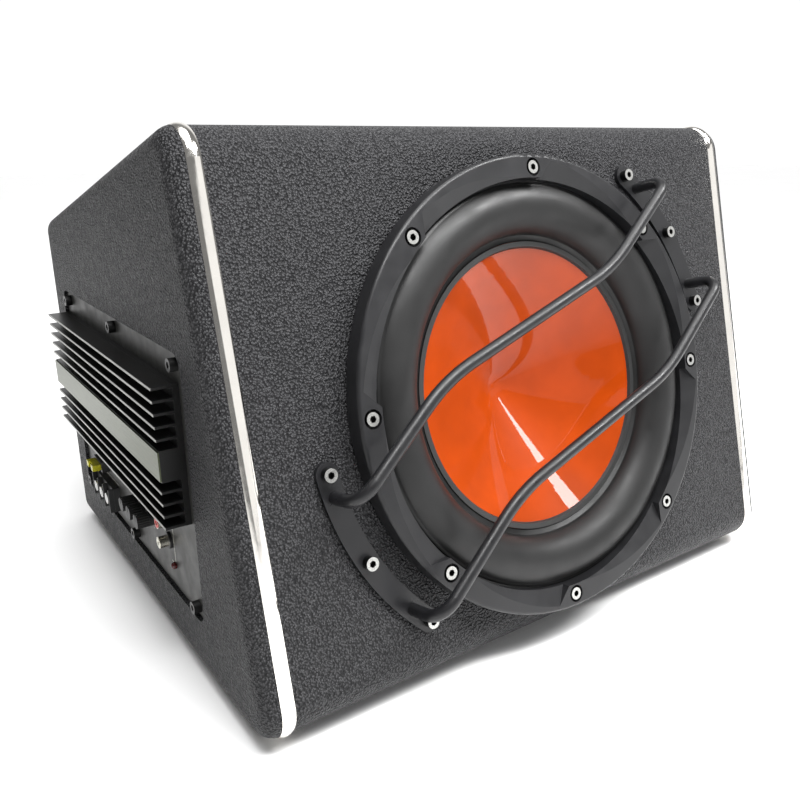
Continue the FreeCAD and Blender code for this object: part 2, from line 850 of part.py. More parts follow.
def guard_bar(label, start_angle, finish_angle):
    """A rod from bracket to bracket that steps once to each side of the straight line."""
    start = polar(SIZES["guard_radius"], start_angle).Base
    finish = polar(SIZES["guard_radius"], finish_angle).Base
    along = (finish - start).normalize()
    aside = Vector(-along.y, along.x, 0)
    middle = (start + finish) * 0.5
    lift = Vector(0, 0, SIZES["bar_height"])
    foot = Vector(0, 0, SIZES["guard_thick"])
    near_bend = middle - along * SIZES["bend_apart"] + aside * SIZES["bend_aside"]
    far_bend = middle + along * SIZES["bend_apart"] - aside * SIZES["bend_aside"]
    spine = doc.addObject("Part::Feature", "bar_path")
    spine.Shape = bent_path(
        [start + foot, start + lift, near_bend + lift, far_bend + lift, finish + lift,
         finish + foot],
        [SIZES["leg_bend"], SIZES["plan_bend"], SIZES["plan_bend"], SIZES["leg_bend"]])
    spine.Placement = FRONT
    section = bind(doc.addObject("Part::Circle", "bar_section"), Radius="bar_radius")
    section.Placement = FRONT * Placement(start + foot, Rotation())
    rod = doc.addObject("Part::Sweep", "rod")
    rod.Sections = [section]
    rod.Spine = (spine, ["Edge%d" % number for number in range(1, len(spine.Shape.Edges) + 1)])
    rod.Solid = True
    node(rod, label)


def guard():
    for label, middle in BRACKET_MIDDLES.items():
        bracket(label, middle)
    lower, upper = BRACKET_MIDDLES.values()
    guard_bar("upper_guard_bar", lower - ROOT_SPREAD, upper + ROOT_SPREAD)
    guard_bar("lower_guard_bar", lower + ROOT_SPREAD, upper - ROOT_SPREAD)
    node(group(*[cap_screw(place, "guard_screw") for place in guard_screw_places()]), "bracket_screws")


# ---------------------------------------------------------------- amplifier

KNOBS = {"level_knob": 40.0, "crossover_knob": 22.0, "bass_boost_knob": 4.0}
KNOB_LINE = -53.5
JACKS = {"rca_insulator_red": -39.5, "rca_insulator_white": -54.5}
JACK_LINE = 79.0
LED_SPOT = (86.0, -71.0)
TERMINAL_SPOT = (-70.0, -71.0)
FUSE_SPOT = (-81.0, -50.0)
POST_SIGNS = [(-1, -1), (-1, 1), (1, -1), (1, 1)]
THROUGH = "20"                  # long enough for any hole through the plate


def face(x, y, z=0.0):
    """A place on the amplifier plate's outer face."""
    return SIDE * at(x, y, z - SIZES["amp_recess"])


def behind(x, y, depth):
    """A place behind the amplifier plate, depth below its inner face."""
    return face(x, y, -SIZES["amp_plate_thick"] - depth)


def amp_screw_places():
    x = SIZES["amp_screw_x"]
    y = SIZES["amp_screw_y"]
    return [face(across, up) for across in (-x, 0, x) for up in (-y, y)]


def amp_plate():
    """The plate that carries the amplifier, and the foam gasket it is screwed down on."""
    plate = sheet_plate(
        behind(0, 0, 0), "amp_length", "amp_height", "amp_plate_thick", "amp_corner")
    holes = [pilot(place, "board") for place in amp_screw_places()]
    shafts = [
        cylinder(behind(x, KNOB_LINE, 5), "shaft_radius + shaft_play", THROUGH)
        for x in KNOBS.values()]
    jacks = [
        cylinder(behind(JACK_LINE, y, 5), "rca_radius - rca_wall", THROUGH)
        for y in JACKS.values()]
    led = cylinder(behind(*LED_SPOT, 5), "led_radius", THROUGH)
    node(cut(plate, *holes, *shafts, *jacks, led), "amp_plate")
    frame = rounded_box(
        behind(0, 0, amount("amp_gasket")), "amp_length", "amp_height", "amp_gasket",
        "amp_corner")
    window = rounded_box(
        behind(0, 0, 10), "amp_opening_length", "amp_opening_height", THROUGH, "amp_corner")
    node(cut(frame, window, *holes), "amp_gasket")
    node(group(*[cap_screw(place, "amp_screw") for place in amp_screw_places()]), "amp_screws")


def heatsink():
    """An extruded heatsink: fins along its length and a broad rib that carries the nameplate."""
    low = amount("sink_low")
    middle = SIZES["sink_middle"]
    base = box(face(middle, low + amount("0.5 * sink_height")), "sink_length", "sink_height",
               "sink_base")
    pitch = SIZES["fin_pitch"]
    lower = [low + 1 + pitch * number for number in range(4)]
    upper = [low + amount("sink_height") - 1 - pitch * number for number in range(5)]
    rib_line = 0.5 * (lower[-1] + upper[-1])
    fins = [box(face(middle, y), "sink_length", "fin_thick", "sink_proud") for y in lower + upper]
    rib = box(face(middle, rib_line), "sink_length", "badge_width + fin_thick",
              "sink_proud - badge_thick")
    node(fuse(base, rib, *fins), "heatsink")
    plate = box(face(middle, rib_line, amount("sink_proud - badge_thick")), "sink_length",
                "badge_width", "badge_thick")
    node(plate, "nameplate")


def knob(label, x):
    """A ribbed knob with a pointer groove, moulded round its shaft."""
    grip = cylinder(face(x, KNOB_LINE, SIZES["knob_gap"]), "knob_radius", "knob_height")
    shaft = cylinder(
        behind(x, KNOB_LINE, SIZES["shaft_below"]), "shaft_radius", "shaft_below + knob_height")
    groove = box(
        face(x, KNOB_LINE + amount("0.6 * knob_radius"), amount("knob_height - groove_width")),
        "groove_width", "knob_radius", "knob_height")
    flutes = [
        cylinder(
            face(x, KNOB_LINE) * polar(amount("knob_radius + 0.5 * flute_radius"), 20 * number, 3),
            "flute_radius", "knob_height")
        for number in range(18)]
    node(cut(fuse(grip, shaft), groove, *flutes), label)


def controls():
    """Three turning controls with their potentiometers, and the power light."""
    for label, x in KNOBS.items():
        knob(label, x)
    pots = [
        cut(box(behind(x, KNOB_LINE, SIZES["pot_depth"]), "pot_side", "pot_side", "pot_depth"),
            cylinder(behind(x, KNOB_LINE, SIZES["shaft_below"]), "shaft_radius + shaft_play",
                     "pot_depth"))
        for x in KNOBS.values()]
    node(group(*pots), "potentiometers")
    led = fuse(
        cylinder(behind(*LED_SPOT, 0), "led_radius", "amp_plate_thick + 1"),
        sphere(face(*LED_SPOT, 1), "led_radius"))
    node(led, "status_led")


def sphere(where, radius):
    thing = bind(doc.addObject("Part::Sphere", "sphere"), Radius=radius)
    thing.Placement = where
    return thing


def jacks():
    """Two phono sockets: a metal shell round a coloured insulator, on a black base each."""
    shells = []
    bases = []
    for label, y in JACKS.items():
        foot = face(JACK_LINE, y)
        bases.append(tube(foot, "rca_base", "rca_radius - rca_wall", "rca_base_high"))
        shells.append(tube(
            face(JACK_LINE, y, SIZES["rca_base_high"]), "rca_radius", "rca_radius - rca_wall",
            "rca_length - rca_base_high"))
        body = cylinder(
            behind(JACK_LINE, y, 9), "rca_radius - rca_wall",
            "9 + amp_plate_thick + rca_length + 0.3")
        node(cut(body, cylinder(foot, "rca_bore", THROUGH)), label)
    node(group(*shells), "rca_shells")
    node(group(*bases), "rca_bases")


def power_input():
    """Screw terminals for power, ground and switch-on, and a blade fuse beside them."""
    across, up = TERMINAL_SPOT
    pitch = SIZES["terminal_pitch"]
    top = SIZES["terminal_block_high"]
    base = box(
        face(across, up), "terminal_block_length", "terminal_block_width", "terminal_block_high")
    ribs = [
        box(face(across + pitch * number, up), "terminal_rib", "terminal_block_width",
            "terminal_rib_high")
        for number in (-1.5, -0.5, 0.5, 1.5)]
    spots = [across + pitch * number for number in (-1, 0, 1)]
    threads = [cylinder(face(x, up, 1), "terminal_thread", "terminal_block_high") for x in spots]
    node(cut(fuse(base, *ribs), *threads), "power_terminal_block")
    screws = [
        cut(fuse(cylinder(face(x, up, top), "terminal_washer", "terminal_washer_high"),
                 cylinder(face(x, up, top), "terminal_screw", "terminal_screw_high"),
                 cylinder(face(x, up, 1), "terminal_thread", "terminal_block_high")),
            box(face(x, up, top + amount("0.6 * terminal_screw_high")), "1",
                "2 * terminal_screw", "terminal_screw_high"))
        for x in spots]
    node(group(*screws), "terminal_screws")
    seat = SIZES["fuse_floor"]
    slot = box(face(*FUSE_SPOT, seat), "fuse_length + 2 * fuse_play", "fuse_width + 2 * fuse_play",
               "fuse_high")
    holder = box(face(*FUSE_SPOT), "fuse_length + 2 * fuse_wall", "fuse_width + 2 * fuse_wall",
                 "fuse_holder_high")
    node(cut(holder, slot), "fuse_holder")
    blade = box(face(*FUSE_SPOT, seat), "fuse_length", "fuse_width", "fuse_high")
    notch = box(face(*FUSE_SPOT, seat + amount("0.85 * fuse_high")), "0.4 * fuse_length",
                "2 * fuse_width", "fuse_high")
    node(cut(blade, notch), "blade_fuse")


def on_board(x, y, above):
    """A place over the circuit board's middle, so far nearer the plate than the board's back."""
    return behind(
        SIZES["board_shift"] + x, SIZES["board_drop"] + y, SIZES["board_depth"] - above)


def electronics():
    """What the back cover hides: a circuit board and its large components."""
    node(box(on_board(0, 0, 0), "board_length", "board_width", "board_thick"), "circuit_board")
    x_out = amount("0.5 * board_length - post_inset")
    y_out = amount("0.5 * board_width - post_inset")
    above = SIZES["board_thick"]
    posts = [
        cylinder(on_board(x * x_out, y * y_out, above), "post_radius", "board_depth - board_thick")
        for x, y in POST_SIGNS]
    node(group(*posts), "board_standoffs")
    cans = [
        cylinder(on_board(SIZES["can_pitch"] * number, -28, -SIZES["can_length"]), "can_radius",
                 "can_length")
        for number in (-4, -3, -2, -1)]
    node(group(*cans), "filter_capacitors")
    coil = bind(doc.addObject("Part::Torus", "toroid"), Radius1="coil_ring", Radius2="coil_wire")
    coil.Placement = on_board(44, -26, -SIZES["coil_wire"])
    node(coil, "toroid_inductor")
    chips = [
        box(behind(SIZES["chip_pitch"] * number, 40, SIZES["chip_thick"]), "chip_width",
            "chip_length", "chip_thick")
        for number in (-3, -2, -1, 0, 1, 2)]
    node(group(*chips), "power_transistors")
    outside = rounded_box(
        behind(0, 0, amount("amp_depth")), "cover_length", "cover_height", "amp_depth",
        "amp_corner - 1")
    inside = rounded_box(
        behind(0, 0, amount("amp_depth - cover_wall")), "cover_length - 2 * cover_wall",
        "cover_height - 2 * cover_wall", "amp_depth", "amp_corner - 1 - cover_wall")
    node(cut(outside, inside), "amp_back_cover")


# ---------------------------------------------------------------- build and write

boards()
side_panels()
wraps()
trim(-1, "left_trim")
trim(1, "right_trim")
feet()
gasket_ring()
woofer_frame()
surround()
cone()
motor()
woofer_terminals()
guard()
amp_plate()
heatsink()
controls()
jacks()
power_input()
electronics()
doc.recompute()

for thing in doc.Objects:
    if "Invalid" in thing.State or "Error" in thing.State:
        raise RuntimeError("%s (%s): %s" % (thing.Name, thing.Label, thing.State))
os.makedirs("parts", exist_ok=True)
for thing in nodes:
    if thing.Shape.isNull() or not thing.Shape.isValid() or not thing.Shape.Solids:
        raise RuntimeError("%s has no valid solid" % thing.Label)
    thing.Shape.exportStep("parts/%s.step" % thing.Label)
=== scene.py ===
# The looks of a powered car subwoofer: a wrapped wedge box, an orange-coned woofer behind two bent
# guard bars, and an amplifier let into the left side.  Metres throughout, in the CAD model's frame.

import json
import math

import bmesh
import bpy
from mathutils import Matrix, Vector


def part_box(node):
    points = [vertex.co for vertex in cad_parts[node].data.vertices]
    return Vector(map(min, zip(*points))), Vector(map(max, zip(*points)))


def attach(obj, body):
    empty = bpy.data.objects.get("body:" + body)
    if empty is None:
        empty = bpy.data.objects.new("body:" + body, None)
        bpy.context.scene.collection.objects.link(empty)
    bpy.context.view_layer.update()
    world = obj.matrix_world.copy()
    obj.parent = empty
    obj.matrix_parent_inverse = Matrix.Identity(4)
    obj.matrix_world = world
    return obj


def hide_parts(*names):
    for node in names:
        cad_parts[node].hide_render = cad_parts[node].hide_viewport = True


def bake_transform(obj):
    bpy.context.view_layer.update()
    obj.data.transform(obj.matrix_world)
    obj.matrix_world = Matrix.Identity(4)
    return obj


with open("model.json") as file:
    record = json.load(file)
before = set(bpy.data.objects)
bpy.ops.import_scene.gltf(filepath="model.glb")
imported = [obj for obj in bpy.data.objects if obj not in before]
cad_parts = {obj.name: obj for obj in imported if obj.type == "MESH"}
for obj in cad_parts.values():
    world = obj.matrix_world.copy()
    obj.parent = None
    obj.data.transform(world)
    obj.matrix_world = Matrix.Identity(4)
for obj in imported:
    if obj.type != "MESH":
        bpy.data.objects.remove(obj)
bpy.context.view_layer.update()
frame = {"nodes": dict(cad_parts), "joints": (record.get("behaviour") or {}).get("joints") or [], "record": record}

MM = 0.001


# ---------------------------------------------------------------- places

joints = {joint["name"]: joint for joint in frame["joints"]}
OUTWARD = Vector(joints["cone_travel"]["axis"]).normalized()
UPSLOPE = Vector((0, OUTWARD.z, -OUTWARD.y))
RIM_MIDDLE = -4.4 * MM          # height of the cone rim's middle over the front wrap


def middle(node):
    """The middle of a CAD piece's box."""
    low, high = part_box(node)
    return (low + high) / 2


WOOFER = middle("cone_rim") - OUTWARD * RIM_MIDDLE
FRONT = Matrix.Translation(WOOFER) @ Matrix(
    ((1, 0, 0), UPSLOPE, OUTWARD)).transposed().to_4x4()


# ---------------------------------------------------------------- materials: helpers

class Look:
    """A node material under construction: constants on the shader, patterns linked in."""

    def __init__(self, name, colour, roughness, metallic=0.0, **sockets):
        self.material = bpy.data.materials.new(name)
        self.material.use_nodes = True
        self.nodes = self.material.node_tree.nodes
        self.links = self.material.node_tree.links
        self.shader = self.nodes["Principled BSDF"]
        self.colour = colour
        self.roughness = roughness
        self.shader.inputs["Base Color"].default_value = (*colour, 1)
        self.shader.inputs["Roughness"].default_value = roughness
        self.shader.inputs["Metallic"].default_value = metallic
        for socket, value in sockets.items():
            self.shader.inputs[socket.replace("_", " ")].default_value = value
        self.place = self.nodes.new("ShaderNodeTexCoord").outputs["Object"]
        self.height = None

    def stretched(self, x, y, z):
        """The piece's own coordinates, stretched for patterns that run one way."""
        node = self.nodes.new("ShaderNodeMapping")
        node.inputs["Scale"].default_value = (x, y, z)
        self.links.new(self.place, node.inputs["Vector"])
        return node.outputs["Vector"]

    def noise(self, size, detail=3.0, place=None):
        """Soft noise, 0 to 1, whose lumps are about size metres across."""
        node = self.nodes.new("ShaderNodeTexNoise")
        node.inputs["Scale"].default_value = 1 / size
        node.inputs["Detail"].default_value = detail
        self.links.new(place or self.place, node.inputs["Vector"])
        return node.outputs["Fac"]

    def cells(self, size, place=None, feature="SMOOTH_F1", soft=1.0):
        """Cells about size metres across, such as leather pebbles; soft rounds their valleys."""
        node = self.nodes.new("ShaderNodeTexVoronoi")
        node.feature = feature
        node.inputs["Scale"].default_value = 1 / size
        if feature == "SMOOTH_F1":
            node.inputs["Smoothness"].default_value = soft
        self.links.new(place or self.place, node.inputs["Vector"])
        return node.outputs["Distance"]

    def bent(self, size, amount):
        """Coordinates pushed about by noise, so cells lose their straight edges."""
        noise = self.nodes.new("ShaderNodeTexNoise")
        noise.inputs["Scale"].default_value = 1 / size
        self.links.new(self.place, noise.inputs["Vector"])
        push = self.nodes.new("ShaderNodeVectorMath")
        push.operation = "MULTIPLY_ADD"
        push.inputs[1].default_value = (amount, amount, amount)
        self.links.new(noise.outputs["Color"], push.inputs[0])
        self.links.new(self.place, push.inputs[2])
        return push.outputs["Vector"]

    def ramp(self, value, stops):
        """Colours or greys along a 0-1 value: stops are (where, colour)."""
        node = self.nodes.new("ShaderNodeValToRGB")
        ramp = node.color_ramp
        while len(ramp.elements) < len(stops):
            ramp.elements.new(0.5)
        for element, (where, colour) in zip(ramp.elements, stops):
            element.position = where
            element.color = (*colour, 1)
        self.links.new(value, node.inputs["Fac"])
        return node.outputs["Color"]

    def blotches(self, size, spread):
        """Vary the colour by a part of itself over lumps of the given size."""
        dark = tuple(part * (1 - spread) for part in self.colour)
        light = tuple(min(1, part * (1 + spread)) for part in self.colour)
        return self.paint(self.ramp(self.noise(size), [(0.35, dark), (0.65, light)]))

    def wear(self, size, spread):
        """Vary the roughness, as handling and dust do."""
        node = self.nodes.new("ShaderNodeMapRange")
        node.inputs["From Min"].default_value = 0.3
        node.inputs["From Max"].default_value = 0.7
        node.inputs["To Min"].default_value = self.roughness * (1 - spread)
        node.inputs["To Max"].default_value = min(1, self.roughness * (1 + spread))
        self.links.new(self.noise(size), node.inputs["Value"])
        self.links.new(node.outputs["Result"], self.shader.inputs["Roughness"])
        return self

    def paint(self, colour):
        """Take the base colour from a pattern."""
        self.links.new(colour, self.shader.inputs["Base Color"])
        return self

    def bump(self, value, depth, strength=1.0):
        """Raise the surface by value times depth metres, over any earlier bump."""
        node = self.nodes.new("ShaderNodeBump")
        node.inputs["Distance"].default_value = depth
        node.inputs["Strength"].default_value = strength
        self.links.new(value, node.inputs["Height"])
        if self.height is not None:
            self.links.new(self.height, node.inputs["Normal"])
        self.height = node.outputs["Normal"]
        self.links.new(self.height, self.shader.inputs["Normal"])
        return self

    def between(self, value, low, width):
        """0 below low and 1 from low + width on; a negative width turns it round."""
        node = self.nodes.new("ShaderNodeMapRange")
        node.inputs["From Min"].default_value = low
        node.inputs["From Max"].default_value = low + width
        self.links.new(value, node.inputs["Value"])
        return node.outputs["Result"]

    def along(self, axis):
        """One of the piece's own coordinates."""
        split = self.nodes.new("ShaderNodeSeparateXYZ")
        self.links.new(self.place, split.inputs["Vector"])
        return split.outputs[axis]

    def mix(self, share, plain, colour):
        """Paint with a plain colour that goes over to a pattern where the share is 1."""
        node = self.nodes.new("ShaderNodeMix")
        node.data_type = "RGBA"
        node.inputs["A"].default_value = (*plain, 1)
        self.links.new(share, node.inputs["Factor"])
        self.links.new(colour, node.inputs["B"])
        return self.paint(node.outputs["Result"])


# ---------------------------------------------------------------- materials: one section each

def leatherette():
    """Black vinyl with a fine pebble grain: painted highlight on the pebble tops and painted shade in the valleys
    between them.
    """
    look = Look("leatherette", (0.05, 0.05, 0.052), 0.42, Specular_IOR_Level=0.12)
    pebble = 1.4 * MM
    pebbles = look.cells(pebble, look.bent(3 * MM, 0.7 * MM), soft=0.4)
    # Pebble tops painted lighter and valleys darker: a painted highlight on the tops and painted shade in the
    # valleys.
    look.paint(look.ramp(pebbles, [(0.15, (0.066, 0.066, 0.069)), (0.6, (0.014, 0.014, 0.015))]))
    look.bump(look.noise(0.05, 2), 0.4 * MM, 0.2)
    look.bump(pebbles, -1.7 * MM)
    return look.wear(0.004, 0.2).material


def chrome():
    look = Look("chrome", (0.88, 0.85, 0.8), 0.12, 1.0)
    look.blotches(0.02, 0.03)
    look.bump(look.noise(0.02, 2), 0.2 * MM, 0.25)
    return look.wear(0.006, 0.5).material


def powder_black():
    """The woofer frame's satin black powder coat."""
    look = Look("powder_black", (0.012, 0.012, 0.013), 0.38, Specular_IOR_Level=0.3)
    look.blotches(0.02, 0.12)
    look.bump(look.noise(0.8 * MM, 3), 0.05 * MM, 0.5)
    return look.wear(0.01, 0.2).material


def guard_black():
    look = Look("guard_black", (0.008, 0.008, 0.009), 0.36, Specular_IOR_Level=0.35)
    look.blotches(0.015, 0.15)
    look.bump(look.noise(1.2 * MM, 3), 0.03 * MM, 0.2)
    return look.wear(0.008, 0.25).material


def surround_rubber():
    look = Look("surround_rubber", (0.01, 0.01, 0.01), 0.45, Specular_IOR_Level=0.3)
    look.blotches(0.03, 0.15)
    look.bump(look.noise(0.7 * MM, 3), 0.05 * MM, 0.6)
    return look.wear(0.02, 0.2).material


def foam_rubber():
    look = Look("foam_rubber", (0.012, 0.012, 0.012), 0.85)
    look.blotches(0.004, 0.3)
    look.bump(look.cells(0.8 * MM), 0.2 * MM, 0.8)
    return look.material


def orange_cone():
    """Orange lacquer over a moulded cone: a clear coat with slow waves in it."""
    look = Look(
        "orange_cone", (0.31, 0.036, 0.001), 0.4, Specular_IOR_Level=0.05, Coat_Weight=0.8,
        Coat_Roughness=0.02, Coat_IOR=1.35)
    look.blotches(0.03, 0.08)
    look.bump(look.noise(0.035, 1), 1.6 * MM, 0.35)
    return look.material


def bright_steel():
    look = Look("bright_steel", (0.62, 0.62, 0.6), 0.25, 1.0)
    look.blotches(0.003, 0.15)
    look.bump(look.noise(0.6 * MM, 2), 0.03 * MM, 0.5)
    return look.wear(0.002, 0.3).material


def black_steel():
    look = Look("black_steel", (0.03, 0.03, 0.03), 0.3, 0.7)
    look.blotches(0.003, 0.2)
    look.bump(look.noise(0.6 * MM, 2), 0.03 * MM, 0.5)
    return look.material


def socket_screw(name, face_level):
    """A blackened screw whose flat face, at a height over the front wrap, is worn bright."""
    wear_depth, fade = 0.4 * MM, 0.1 * MM
    look = Look(name, (0.02, 0.02, 0.02), 0.3, 0.8)
    height = look.nodes.new("ShaderNodeVectorMath")
    height.operation = "DOT_PRODUCT"
    height.inputs[1].default_value = OUTWARD
    look.links.new(look.place, height.inputs[0])
    worn = look.between(
        height.outputs["Value"], WOOFER.dot(OUTWARD) + face_level - wear_depth, fade)
    steel = look.ramp(look.noise(0.8 * MM), [(0.3, (0.3, 0.3, 0.29)), (0.7, (0.5, 0.5, 0.48))])
    look.mix(worn, (0.012, 0.012, 0.012), steel)
    look.bump(look.noise(0.5 * MM, 2), 0.03 * MM, 0.5)
    return look.material


def plated_steel():
    look = Look("plated_steel", (0.55, 0.54, 0.5), 0.35, 1.0)
    look.blotches(0.01, 0.15)
    look.bump(look.noise(2 * MM, 3), 0.05 * MM, 0.4)
    return look.wear(0.01, 0.3).material


def ferrite():
    look = Look("ferrite", (0.03, 0.03, 0.034), 0.6, 0.2)
    look.blotches(0.004, 0.25)
    look.bump(look.noise(1 * MM, 4), 0.1 * MM, 0.7)
    return look.material


def fibreboard():
    look = Look("fibreboard", (0.36, 0.24, 0.13), 0.8)
    look.blotches(0.002, 0.25)
    look.bump(look.noise(1 * MM, 4), 0.15 * MM, 0.6)
    return look.material


def foot_rubber():
    look = Look("foot_rubber", (0.014, 0.014, 0.014), 0.7)
    look.blotches(0.005, 0.25)
    look.bump(look.noise(0.8 * MM, 3), 0.08 * MM, 0.6)
    return look.material


def anodised_sink():
    """Black anodised extrusion; the fins' outer edges carry a painted highlight, a bright streaked band."""
    look = Look("anodised_sink", (0.012, 0.012, 0.012), 0.36, 0.6)
    low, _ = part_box("heatsink")
    # The outermost 0.3 mm of each fin is painted bright with streaks: a painted highlight along the fin edges.
    edge_highlight = look.between(look.along("X"), low.x + 0.3 * MM, -0.1 * MM)
    lines = look.noise(0.7 * MM, 3, look.stretched(1, 0.03, 1))
    painted_highlight = look.ramp(lines, [(0.3, (0.14, 0.14, 0.13)), (0.7, (0.32, 0.32, 0.3))])
    look.mix(edge_highlight, (0.012, 0.012, 0.012), painted_highlight)
    look.bump(lines, 0.03 * MM, 0.5)
    return look.material


def amp_black():
    look = Look("amp_black", (0.02, 0.02, 0.018), 0.4, Specular_IOR_Level=0.35)
    look.blotches(0.02, 0.15)
    look.bump(look.noise(0.6 * MM, 3), 0.04 * MM, 0.5)
    return look.wear(0.015, 0.2).material


def brushed_badge():
    look = Look("brushed_badge", (0.08, 0.09, 0.06), 0.3, 0.8)
    lines = look.noise(0.4 * MM, 3, look.stretched(1, 0.02, 1))
    look.paint(look.ramp(lines, [(0.3, (0.05, 0.058, 0.034)), (0.7, (0.1, 0.112, 0.07))]))
    look.bump(lines, 0.02 * MM, 0.6)
    return look.material


def nickel(name, colour):
    """Bright plated or turned metal of a given colour."""
    look = Look(name, colour, 0.22, 1.0)
    look.blotches(0.002, 0.15)
    look.bump(look.noise(0.5 * MM, 2), 0.02 * MM, 0.4)
    return look.material


def plastic(name, colour, roughness, **sockets):
    """Moulded plastic: slight mottling and the fine texture of the mould."""
    look = Look(name, colour, roughness, **sockets)
    look.blotches(0.006, 0.1)
    look.bump(look.noise(0.5 * MM, 3), 0.03 * MM, 0.5)
    return look.material


def copper():
    look = Look("copper", (0.62, 0.24, 0.08), 0.3, 1.0)
    look.blotches(0.002, 0.15)
    look.bump(look.noise(0.3 * MM, 2, look.stretched(0.1, 1, 1)), 0.1 * MM, 0.7)
    return look.material


def spider_cloth():
    look = Look("spider_cloth", (0.42, 0.3, 0.12), 0.85, Sheen_Weight=0.3)
    look.blotches(0.004, 0.2)
    look.bump(look.cells(0.9 * MM), 0.2 * MM, 0.8)
    return look.material


def circuit_green():
    look = Look("circuit_green", (0.01, 0.12, 0.04), 0.35)
    tracks = look.ramp(look.cells(6 * MM, feature="DISTANCE_TO_EDGE"), [
        (0.05, (0.02, 0.2, 0.07)), (0.09, (0.008, 0.1, 0.035))])
    look.paint(tracks)
    look.bump(look.noise(1 * MM, 2), 0.03 * MM, 0.4)
    return look.material


MATERIALS = {
    "mdf_board": fibreboard(),
    "leatherette": leatherette(),
    "chrome_strip": chrome(),
    "foot_rubber": foot_rubber(),
    "steel_screw": bright_steel(),
    "cap_screw_steel": socket_screw("ring_screw_steel", 15 * MM),
    "guard_screw_steel": socket_screw("guard_screw_steel", 8 * MM),
    "black_screw_steel": black_steel(),
    "foam_gasket": foam_rubber(),
    "frame_black": powder_black(),
    "surround_rubber": surround_rubber(),
    "rim_black": plastic("rim_black", (0.012, 0.012, 0.012), 0.5),
    "cone_orange": orange_cone(),
    "spider_cloth": spider_cloth(),
    "former": nickel("aluminium", (0.7, 0.7, 0.7)),
    "copper_wire": copper(),
    "plated_steel": plated_steel(),
    "ferrite": ferrite(),
    "phenolic": plastic("phenolic", (0.1, 0.05, 0.02), 0.5),
    "guard_black": guard_black(),
    "amp_black": amp_black(),
    "heatsink_black": anodised_sink(),
    "badge": brushed_badge(),
    "rca_metal": nickel("nickel", (0.72, 0.69, 0.6)),
    "white_insulator": plastic("white_insulator", (0.72, 0.71, 0.62), 0.3),
    "red_insulator": plastic("red_insulator", (0.5, 0.02, 0.012), 0.3),
    "control_black": plastic("control_black", (0.012, 0.012, 0.012), 0.45),
    "fuse_yellow": plastic("fuse_yellow", (0.6, 0.55, 0.02), 0.2, Transmission_Weight=0.25),
    "led_lens": plastic("led_lens", (0.06, 0.006, 0.006), 0.15),
    "board_green": circuit_green(),
    "standoff_brass": nickel("brass", (0.55, 0.4, 0.14)),
    "capacitor_sleeve": plastic("capacitor_sleeve", (0.01, 0.01, 0.04), 0.3),
    "chip_black": plastic("chip_black", (0.015, 0.015, 0.015), 0.5),
}

for part in frame["record"]["subparts"]:
    mesh = frame["nodes"][part["node"]].data
    mesh.materials.clear()
    mesh.materials.append(MATERIALS[part["material_slot"]])


# ---------------------------------------------------------------- pieces: helpers

def piece_from(name, mesh, slot, where=Matrix.Identity(4)):
    """Put a mesh in the scene as a piece, with one of the record's material slots."""
    thing = bpy.data.objects.new(name, mesh)
    bpy.context.scene.collection.objects.link(thing)
    mesh.transform(where)
    mesh.materials.append(MATERIALS[slot])
    return thing


def turned(name, profile, steps, slot):
    """A ring turned about the woofer's axis from a closed (radius, height) profile."""
    shape = bmesh.new()
    rings = []
    for step in range(steps):
        swing = 2 * math.pi * step / steps
        rings.append([
            shape.verts.new((radius * math.cos(swing), radius * math.sin(swing), height))
            for radius, height in profile])
    for ring, following in zip(rings, rings[1:] + rings[:1]):
        for index in range(len(profile)):
            after = (index + 1) % len(profile)
            shape.faces.new((ring[index], following[index], following[after], ring[after]))
    bmesh.ops.recalc_face_normals(shape, faces=shape.faces)
    mesh = bpy.data.meshes.new(name)
    shape.to_mesh(mesh)
    shape.free()
    mesh.shade_smooth()
    return piece_from(name, mesh, slot, FRONT)


def flex(thing, fixed_radius, moving_radius):
    """Bake a ring's placement into its mesh and work out, vertex by vertex, its share of the way from the cabinet
    at one radius to the cone assembly at another; the share is not put to use, so the ring does not bend.
    """
    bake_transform(thing)
    flat = FRONT.inverted()
    for vertex in thing.data.vertices:
        place = flat @ vertex.co
        part = (fixed_radius - math.hypot(place.x, place.y)) / (fixed_radius - moving_radius)
        part = min(1, max(0, part))


# ---------------------------------------------------------------- woofer surround and spider

def surround():
    """The rubber half-roll, with a landing on the frame and one on the cone."""
    roll_middle, roll_level, roll_arc, rubber = 123.6 * MM, -5.7 * MM, 18.7 * MM, 1.6 * MM
    outer_edge, inner_edge = 139 * MM, 101.1 * MM
    landing, foot = 5.2 * MM, -5.5 * MM
    steps = 28
    profile = [(outer_edge, landing), (outer_edge, landing + rubber)]
    for arc, low_out, low_in, backwards in (
            (roll_arc, landing + rubber, foot + rubber, False),
            (roll_arc - rubber, landing, foot, True)):
        first = math.asin((low_out - roll_level) / arc)
        last = math.pi - math.asin((low_in - roll_level) / arc)
        swings = [first + (last - first) * step / steps for step in range(steps + 1)]
        points = [
            (roll_middle + arc * math.cos(swing), roll_level + arc * math.sin(swing))
            for swing in swings]
        if not backwards:
            profile += points + [(inner_edge, foot + rubber), (inner_edge, foot)]
        else:
            profile += points[::-1]
    thing = turned("surround_roll", profile, 240, "surround_rubber")
    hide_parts("surround")
    flex(thing, 133 * MM, 105 * MM)


